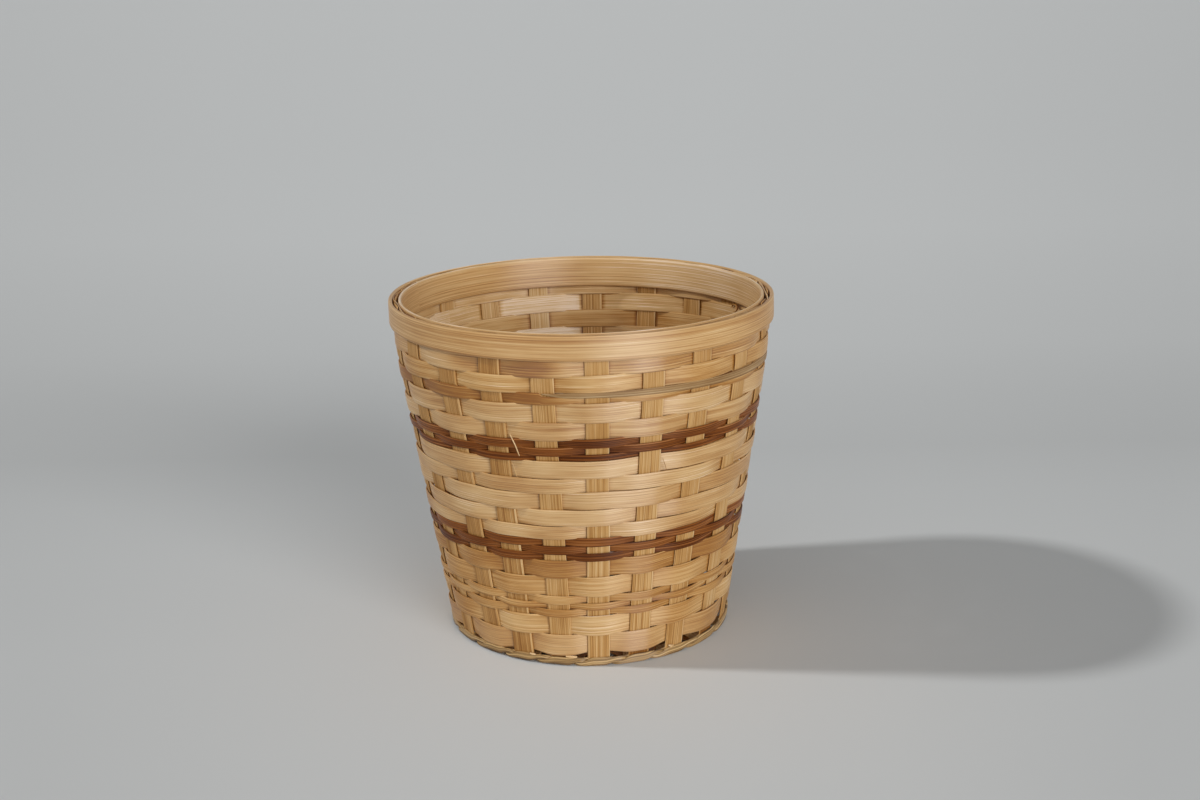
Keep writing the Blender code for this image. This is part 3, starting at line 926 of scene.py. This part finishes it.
def add_wall_rows():
    """The rows from the foot up, and the last one between the hoops."""
    for number, (kind, tone) in enumerate(zip(KINDS, TONES), start=1):
        add_wall_row(number, kind, tone, f"{kind}_weaver_{number:02d}")
    add_wall_row(RIM_ROW, "wide", RIM_ROW_TONE, f"rim_weaver_{RIM_ROW}")


def add_grey_end():
    """The end of the grey strip. It lies over the uprights at the front and is woven in on the right."""
    uprights = len(GREY_WIDTHS_MM) - 1
    steps = uprights * GAP_STEPS
    sides = [-1 if GREY_FIRST_UPRIGHT + k in GREY_BEHIND else 1 for k in range(uprights + 1)]

    def section(step):
        gap, share, angle, pitch = spot_at(step + GREY_FIRST_UPRIGHT * GAP_STEPS, FRONT_HEIGHTS[GREY_ROW])
        start = min(step // GAP_STEPS, uprights - 1)
        if step == steps:
            share = 1.0
        high = boundary(GREY_ROW, angle) - ROW_GAP / 2 + GREY_LAP
        whole = ease(GREY_END_SHARE + step / GAP_STEPS * GREY_END_GROWTH)
        low = high - (grey_width(GREY_FIRST_UPRIGHT + step / GAP_STEPS) + 2 * GREY_LAP) * whole
        out = mix(*sides[start:start + 2], ease(crossing(share, pitch, wall_distance(low))))
        return angle, low, high, out * GREY_OFFSET

    sections = [section(step) for step in range(steps + 1)]

    def place(step, across, thick):
        angle, low, high, out = sections[step]
        reach = out + thick * WEAVER_THICK / 2 + CUP * (1 - across * across)
        return on_wall(angle, mix(low, high, (across + 1) / 2), reach)

    def tone_at(step, across, thick):
        unevenness = GREY_TONE_WANDER * wander(sections[step][0], 0, "grey_tone")
        return MIDDLE_TONE + GREY_END_TONE * ease(1 - GREY_END_FADE * step / GAP_STEPS) + unevenness

    shape = lay_strip(steps, NARROW_POINTS, place, tone_at, GREY_NUMBER, closed=False)
    add_piece(shape, f"grey_end_{GREY_ROW}", "grey")


def add_hoop(name, outer_radius, band, thickness, tone, lights):
    """One bent hoop of the rim, its edges rounded by wear, with its painted light and shade."""
    middle = outer_radius - thickness / 2
    low = HEIGHT - band
    number = FIRST_NUMBERS[name]
    angles = [HOOP_START + 2 * math.pi * step / HOOP_STEPS for step in range(HOOP_STEPS + 1)]

    def place(step, across, thick):
        angle = angles[step]
        bottom = low + HOOP_WANDER * wander(angle, number, "hoop_edge")
        slack = HOOP_WANDER * (wander(angle, number, "hoop_slack") - HOOP_SLACK_MIDDLE)
        point = facing(angle) * (middle + thick * thickness / 2 + slack)
        point.z = mix(bottom, HEIGHT, (across + 1) / 2)
        return point

    def tone_at(step, across, thick):
        unevenness = HOOP_TONE_WANDER * wander(angles[step], number, "hoop_tone")
        # Painted highlight along the top edge
        edge = HOOP_TOP_PAINTED_LIGHT * ease((across - HOOP_TOP_LIGHT_FROM) / HOOP_TOP_LIGHT_OVER)
        return MIDDLE_TONE + unevenness + edge + painted_light_at(angles[step], tone, lights)

    shape = lay_strip(HOOP_STEPS, HOOP_POINTS, place, tone_at, number)
    add_piece(shape, name, "hoop")


def add_sliver(name, spots, width_mm, tone):
    """A fine splinter or loose end: a thin tapering strip through its spots."""
    width = width_mm * MM
    run = Vector((spots[-1][0] - spots[0][0], spots[-1][1] - spots[0][1])).normalized()

    def place(step, across, thick):
        along = step / SLIVER_STEPS * (len(spots) - 1)
        low = min(int(along), len(spots) - 2)
        ends = zip(spots[low], spots[low + 1])
        angle_deg, height_mm, proud_mm = (mix(start, end, along - low) for start, end in ends)
        taper = math.sin(math.pi * (SLIVER_BLUNT + (1 - 2 * SLIVER_BLUNT) * step / SLIVER_STEPS)) ** 0.5
        angle = math.radians(angle_deg)
        sideways = beside(angle) * -run.y
        sideways.z = run.x
        distance = wall_distance(height_mm * MM) + proud_mm * MM
        point = facing(angle) * (distance + thick * width * SLIVER_THICK * taper)
        point.z = height_mm * MM
        return point + sideways * (across * width / 2 * taper)

    def tone_at(step, across, thick):
        return tone

    number = FIRST_NUMBERS["sliver"] + spots[0][0]
    shape = lay_strip(SLIVER_STEPS, SLIVER_POINTS, place, tone_at, number, closed=False)
    add_piece(shape, name, "narrow")


def curl_spots():
    """The spots of the loose end, one after another round its middle spot and further in."""
    spots = []
    for spot in range(CURL_SPOTS):
        turned = spot / CURL_HALF_TURN * math.pi
        angle_deg = CURL_PLACE[0] + CURL_REACH[0] * math.cos(turned)
        height_mm = CURL_PLACE[1] + CURL_REACH[1] * math.sin(turned)
        spots.append((angle_deg, height_mm, CURL_PLACE[2] - CURL_DEPTH_MM * spot))
    return spots


def add_slivers():
    """Splinters that stand off the wall, frayed ends at the foot, and a loose end inside at the back."""
    for name, (spots, width_mm, tone) in SLIVERS.items():
        add_sliver(name, spots, width_mm, tone)
    add_sliver("loose_end", curl_spots(), CURL_WIDTH_MM, CURL_TONE)


def hub_angle(upright):
    """The angle at which an upright's splint leaves the hub, so that a splint runs straight across it."""
    if upright < LONG_SPLINTS:
        return (ANGLES[upright] + ANGLES[upright + LONG_SPLINTS] - math.pi) / 2
    return (ANGLES[upright] + ANGLES[upright - LONG_SPLINTS] + math.pi) / 2


def base_share(radius):
    """How far out a place on the base lies, from 0 at the hub to 1 at its edge."""
    return (radius - HUB_RADIUS) / (BASE_RADIUS - HUB_RADIUS)


def base_height(radius):
    """The middle of a splint's thickness on the gently domed base."""
    return mix(HUB_BASE_RISE, BASE_EDGE_RISE, base_share(radius))


def base_middle(upright, radius):
    """Where a splint's middle line passes a radius of the base, in plan."""
    start = facing(hub_angle(upright)) * HUB_RADIUS
    end = facing(ANGLES[upright]) * BASE_RADIUS
    return start.lerp(end, base_share(radius))


def bend_point(turned):
    """The middle of an upright at the turn from the base into the wall: distance out and height."""
    distance = FLAT_OUTER + BEND_RADIUS * math.sin(turned)
    return distance, FLOOR_MID + BEND_RADIUS - BEND_RADIUS * math.cos(turned)


def leg_profile():
    """The middle of an upright from its top to the base's edge: distance out, height, angle from level."""
    _, bend_top = bend_point(TURN)
    points = []
    for step in range(WALL_STEPS):
        height = UPRIGHT_TOP + (bend_top - UPRIGHT_TOP) * step / WALL_STEPS
        points.append((wall_distance(height), height, math.pi / 2 - math.atan(wall_slope(height))))
    for step in range(BEND_STEPS, -1, -1):
        turned = TURN * step / BEND_STEPS
        points.append((*bend_point(turned), turned))
    rise = (
        (FLAT_INNER, FLOOR_MID),
        ((FLAT_INNER + BASE_RADIUS) / 2, (FLOOR_MID + BASE_EDGE_RISE) / 2),
        (BASE_RADIUS, BASE_EDGE_RISE),
    )
    points += [(*spot, turned) for spot, turned in zip(rise, BASE_EDGE_TURNS)]
    return points


EDGES_AT = [[*(boundary(number, angle) for number in range(RIM_ROW)), HEIGHT] for angle in ANGLES]


def weave_push(upright, height):
    """How far the rows push an upright out of the wall's middle: away from the side that each passes on."""
    push = 0.0
    weight = 0.0
    edges = EDGES_AT[upright]
    for number in range(1, RIM_ROW + 1):
        low, high = edges[number - 1], edges[number]
        near = max(0.0, 1 - abs(height - (low + high) / 2) / (high - low))
        push -= row_side(number, upright) * near
        weight += near
    return UPRIGHT_PUSH * push / weight if weight else 0.0


def leg_sections(upright):
    """Sections of a splint's leg, from its top to the hub: middle, across, out, width, thickness and depth.

    The depth is 1 where a row lies over the upright's outer face, and -1 where one lies over its inner face.
    """
    outward = facing(ANGLES[upright])
    sideways = beside(ANGLES[upright])
    sections = []
    for distance, height, turned in leg_profile():
        lean = upright_shift(upright, height) + SIDE_WANDER * drift(height, upright, "side")
        push = weave_push(upright, height) if turned > WALL_TURN else 0.0
        middle = outward * (distance + push) + sideways * lean
        middle.z = height
        out = outward * math.sin(turned)
        out.z = -math.cos(turned)
        width = UPRIGHT_WIDTH * (UPRIGHT_SWELL + WIDTH_WANDER * drift(height, upright, "width"))
        sections.append((middle, sideways, out, width, UPRIGHT_THICK, -push / UPRIGHT_PUSH))
    for step in range(1, BASE_STEPS + 1):
        radius = BASE_RADIUS + (HUB_RADIUS - BASE_RADIUS) * step / BASE_STEPS
        middle = base_middle(upright, radius)
        run = (base_middle(upright, BASE_RADIUS) - base_middle(upright, HUB_RADIUS)).normalized()
        middle.z = base_height(radius)
        width = mix(HUB_WIDTH, UPRIGHT_WIDTH, base_share(radius))
        sideways = Vector((-run.y, run.x, 0.0))
        sections.append((middle, sideways, DOWN, width, UPRIGHT_THICK, 0.0))
    return sections


def hub_sections(upright, height):
    """Sections of a splint where it steps down to its own level and crosses the hub."""
    angle = hub_angle(upright)
    sections = []
    for step in range(1, HUB_STEPS + 1):
        share = step / HUB_STEPS
        middle = facing(angle) * mix(HUB_RADIUS, HUB_FLAT_RADIUS, share)
        middle.z = mix(HUB_BASE_RISE, height, ease(share))
        sections.append((middle, beside(angle), DOWN, HUB_WIDTH, mix(UPRIGHT_THICK, HUB_THICK, share), 0.0))
    return sections


def turned_round(section):
    """The same section as seen from the splint's other leg, so that the strip isn't twisted."""
    middle, across, *rest = section
    return middle, -across, *rest


def add_long_splint(number):
    """A splint that stands as an upright at each end and crosses the others at the hub at its own level."""
    height = STACK_RISE + number * (HUB_THICK + HUB_GAP)
    near = leg_sections(number) + hub_sections(number, height)
    far = leg_sections(number + LONG_SPLINTS) + hub_sections(number + LONG_SPLINTS, height)
    sections = near + [turned_round(section) for section in reversed(far)]
    steps = len(sections) - 1

    def place(step, across, thick):
        middle, sideways, out, width, thickness, _ = sections[step]
        shift = across * width / 2
        radius = max(HUB_RADIUS, math.hypot(middle.x, middle.y))
        level = Vector((out.x, out.y, 0.0))
        leg = number + OTHER_LEG * (step > steps / 2)
        reach = thick * thickness / 2 + GROOVE * drift(across, leg, "groove") * thick
        return middle + sideways * shift + out * reach - level * (shift ** 2 / (2 * radius))

    def tone_at(step, across, thick):
        edge = UPRIGHT_EDGE_TONE * ease((across - UPRIGHT_EDGE_FROM) / UPRIGHT_EDGE_OVER)
        middle, *_, depth = sections[step]
        unevenness = SPLINT_TONE_WANDER * drift(step * SPLINT_TONE_STEP_MM * MM, number, "tone")
        own = SPLINT_TONES[number] + unevenness
        # Painted light on the inner face
        painted_brightening = painted_inner_light(math.atan2(middle.x, -middle.y), thick)
        # Painted shade where a row lies over the upright's face
        return MIDDLE_TONE + own + edge + painted_brightening - painted_behind_shade(depth * thick)

    own_number = number + FIRST_NUMBERS["long_splint"]
    shape = lay_strip(steps, UPRIGHT_POINTS, place, tone_at, own_number, closed=False)
    add_piece(shape, f"long_splint_{number + 1:02d}", "upright")


def add_base_ring(number, inner, outer, spread_out, tone):
    """One narrow ring on the base, woven over and under the splints there.

    Its outer edge spreads out by so much more where it doesn't pass under a splint.
    """
    knots = []
    for upright in range(UPRIGHTS):
        spot = base_middle(upright, (inner + outer) / 2)
        angle = math.atan2(spot.x, -spot.y)
        while knots and angle < knots[-1]:
            angle += 2 * math.pi
        knots.append(angle)
    knots.append(knots[0] + 2 * math.pi)
    sides = [-1 if upright % 2 == number % 2 else 1 for upright in range(UPRIGHTS)]

    def section(step):
        gap, part = divmod(step, GAP_STEPS)
        share = part / GAP_STEPS
        passed = ease(inset(share, BASE_FLAT_SHARE))
        side = mix(sides[gap % UPRIGHTS], sides[(gap + 1) % UPRIGHTS], passed)
        angle = mix(knots[gap % UPRIGHTS], knots[gap % UPRIGHTS + 1], share)
        return angle, side, BASE_WANDER * wander(angle, number, "ring_edge")

    sections = [section(step) for step in range(ROUND_STEPS + 1)]

    def place(step, across, thick):
        angle, side, shift = sections[step]
        edge = outer + spread_out * (1 - clamp(side))
        radius = mix(inner, edge, (across + 1) / 2) + shift
        point = facing(angle) * radius
        point.z = base_height(radius) + side * WEAVE_OFFSET - thick * WEAVER_THICK / 2
        return point

    def tone_at(step, across, thick):
        return BASE_TONE + tone + BASE_TONE_WANDER * wander(sections[step][0], number, "ring_tone")

    shape = lay_strip(ROUND_STEPS, NARROW_POINTS, place, tone_at, number + FIRST_NUMBERS["base_weaver"])
    add_piece(shape, f"base_weaver_{number}", "narrow")


def add_base_rings():
    """As many narrow rings as the base has room for, from its edge in to the hub."""
    step = BASE_WEAVER_WIDTH + BASE_WEAVER_GAP
    count = int((BASE_RADIUS - HUB_RADIUS) / step)
    outer = BASE_RADIUS - BASE_WEAVER_GAP
    for number in range(count, 0, -1):
        # The outermost ring spreads out and takes painted shade
        spread_out, tone = (BASE_EDGE_SPREAD, BASE_EDGE_PAINTED_SHADE) if number == count else (0.0, 0.0)
        add_base_ring(number, outer - BASE_WEAVER_WIDTH, outer, spread_out, tone)
        outer -= step


def add_twining(number, course):
    """One of two strands round the foot: flat over an upright, twisted as it passes the other strand."""
    sides = [1 if passes_outside(course, upright) else -1 for upright in range(UPRIGHTS)]
    lift_edge = math.cos(math.radians(TWINE_LIFT_HALF_DEG))

    def section(step):
        gap, share, angle, pitch = spot_at(step, 0.0)
        cross = clamp(crossing(share, pitch, FOOT_RADIUS))
        ahead = sides[(gap + 1) % UPRIGHTS]
        if sides[gap] == ahead:
            outside = (1 + ahead) / 2
        else:
            outside = ease(2 * cross) if ahead > 0 else 1 - ease(2 * cross - 1)
        twisted = math.sin(math.pi * cross) ** 2
        width = TWINE_WIDTH - (TWINE_WIDTH - TWINE_TWISTED_WIDTH) * twisted
        level = (sides[gap] - ahead) / 2 * (TWINE_WIDTH - width) / 2
        lifted = nearness(angle, TWINE_LIFT_MIDDLE_DEG, lift_edge, TWINE_LIFT_GROWS_OVER)
        lift = TWINE_LIFT * lifted
        level += TWINE_LIFT_RISE * lift + TWINE_WANDER * wander(angle, number, "twine_level")
        return angle, outside, level, width - TWINE_LIFT_NARROWING * lift, lifted

    sections = [section(step) for step in range(ROUND_STEPS + 1)]

    def place(step, across, thick):
        angle, outside, level, width, _ = sections[step]
        distance, height, steepness = (
            mix(TWINE_INSIDE[key], TWINE_OUTSIDE[key], outside)
            for key in ("distance", "height", "steepness_deg")
        )
        steep = math.radians(steepness)
        ridge = TWINE_RIDGE * thick * math.cos(math.pi * TWINE_RIDGES * across)
        along = level + across * width / 2
        reach = ridge + thick * TWINE_THICK / 2
        point = facing(angle) * (distance + along * math.cos(steep) + reach * math.sin(steep))
        point.z = height + along * math.sin(steep) - reach * math.cos(steep)
        return point

    def tone_at(step, across, thick):
        angle, outside, _, _, lifted = sections[step]
        # Painted contact shade along the lower edge, deeper where the strands rise
        below = ease(FOOT_PAINTED_SHADE_MIDDLE - FOOT_PAINTED_SHADE_GROWTH * across)
        contact_shade = (FOOT_PAINTED_SHADE + FOOT_PAINTED_SHADE_LEFT * lifted) * below
        unevenness = TWINE_TONE_WANDER * wander(angle, number, "twine_tone")
        # Painted shade where the strand passes inside the other
        return TWINE_TONE + unevenness - painted_behind_shade((1 - 2 * outside) * thick) - contact_shade

    shape = lay_strip(ROUND_STEPS, TWINE_POINTS, place, tone_at, number + FIRST_NUMBERS["foot_twining"])
    add_piece(shape, f"foot_twining_{number}", "foot")


def add_camera():
    """The camera stands where the rim's and the foot's ellipses put it."""
    pitch = math.radians(CAMERA_PITCH_DEG)
    roll = math.radians(CAMERA_ROLL_DEG)
    level = Vector((math.sin(CAMERA_YAW), math.cos(CAMERA_YAW), 0.0))
    forward = level * math.cos(pitch) - Vector((0.0, 0.0, math.sin(pitch)))
    right = Vector((math.cos(CAMERA_YAW), -math.sin(CAMERA_YAW), 0.0))
    up = right.cross(forward)
    across = right * math.cos(roll) + up * math.sin(roll)
    top = up * math.cos(roll) - right * math.sin(roll)
    data = bpy.data.cameras.new("camera")
    data.sensor_width = SENSOR_WIDTH_MM
    data.sensor_fit = "HORIZONTAL"
    data.lens = FOCAL_PIXELS / IMAGE_WIDTH * SENSOR_WIDTH_MM
    camera = new_object("camera", data)
    turned = Matrix((across, top, -forward)).transposed().to_4x4()
    camera.matrix_world = Matrix.Translation(CAMERA_PLACE) @ turned
    bpy.context.scene.camera = camera


def add_sun(name, towards, strength, spread_deg, sheen=True):
    """A lamp far away in a direction, whose disc is as wide as its spread. It may leave out the sheen."""
    data = bpy.data.lights.new(name, "SUN")
    data.energy = strength
    data.angle = math.radians(spread_deg)
    lamp = new_object(name, data)
    lamp.rotation_mode = "QUATERNION"
    lamp.rotation_quaternion = Vector(towards).to_track_quat("Z", "Y")
    lamp.visible_glossy = sheen


def add_world():
    """Even light from all round, and a pale grey where the camera sees past the floor."""
    world = bpy.data.worlds.new("studio")
    world.use_nodes = True
    bpy.context.scene.world = world
    tree = world.node_tree
    background = tree.nodes["Background"]
    set_value(background, Color=(*WHITE, 1.0), Strength=AMBIENT)
    seen = add_node(tree, "Background", (*BACKDROP_COLOUR, 1.0))
    ray = add_node(tree, "LightPath")
    shown = ray.outputs["Is Camera Ray"]
    for kind in ("Is Glossy Ray", "Is Transmission Ray"):
        shown = calculate(tree, "MAXIMUM", shown, ray.outputs[kind])
    mixed = add_node(tree, "MixShader", shown, background.outputs[0], seen.outputs[0])
    tree.links.new(mixed.outputs[0], tree.nodes["World Output"].inputs["Surface"])


def tone_ramp(tree, value, tones, colour):
    """A colour that gets lighter and darker as a value passes each of the tones' places."""
    first, last = tones[0][0], tones[-1][0]
    share = add_node(tree, "MapRange", value, first, last)
    stops = [((at - first) / (last - first), [tone * part for part in colour]) for at, tone in tones]
    return colour_ramp(tree, share.outputs[0], stops)


def add_floor():
    """A pale floor, wide enough to fill the picture, with painted light and shade across it."""
    shape = bmesh.new()
    bmesh.ops.create_circle(shape, segments=FLOOR_CORNERS, radius=FLOOR_RADIUS, cap_ends=True)
    material, tree, shader = new_material("pale_floor")
    set_value(shader, Roughness=FLOOR_ROUGHNESS, Specular_IOR_Level=FLOOR_SHINE)
    parts = add_node(tree, "SeparateXYZ", add_node(tree, "TexCoord").outputs["Object"])
    across, back = parts.outputs[:2]
    bearing = calculate(tree, "DIVIDE", across, calculate(tree, "SUBTRACT", back, CAMERA_PLACE[1]))
    toned = add_node(tree, "Mix", 1.0, data_type="RGBA", blend_type="MULTIPLY")
    tree.links.new(tone_ramp(tree, back, FLOOR_PAINTED_LIGHT, FLOOR_COLOUR), toned.inputs["A"])
    tree.links.new(tone_ramp(tree, bearing, BEARING_PAINTED_SHADE, WHITE), toned.inputs["B"])
    tree.links.new(toned.outputs["Result"], shader.inputs["Base Color"])
    new_object("floor", new_mesh("floor", shape, material))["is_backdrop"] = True


def write_sizes():
    """Puts the frame's box and the dressed basket's box side by side as plain lists, which are not kept."""
    boxes = {"frame": frame_box, "dressed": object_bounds()}
    plain = {name: [list(corner) for corner in box] for name, box in boxes.items()}


bpy.context.scene.view_settings.view_transform = "Standard"
add_camera()
add_world()
add_sun("side_sun", **SIDE_SUN)
add_sun("front_sun", **FRONT_SUN)
add_sun("fill_sun", **FILL_SUN)
add_floor()
for splint in range(LONG_SPLINTS):
    add_long_splint(splint)
add_base_rings()
add_twining(1, "odd")
add_twining(2, "even")
add_wall_rows()
add_grey_end()
add_slivers()
add_hoop("outer_rim_hoop", RIM_RADIUS, OUTER_BAND, OUTER_HOOP_THICK, OUTER_TONE, OUTER_PAINTED_LIGHTS)
add_hoop("inner_rim_hoop", INNER_HOOP_RADIUS, INNER_BAND, INNER_HOOP_THICK, INNER_TONE, INNER_PAINTED_LIGHTS)
write_sizes()
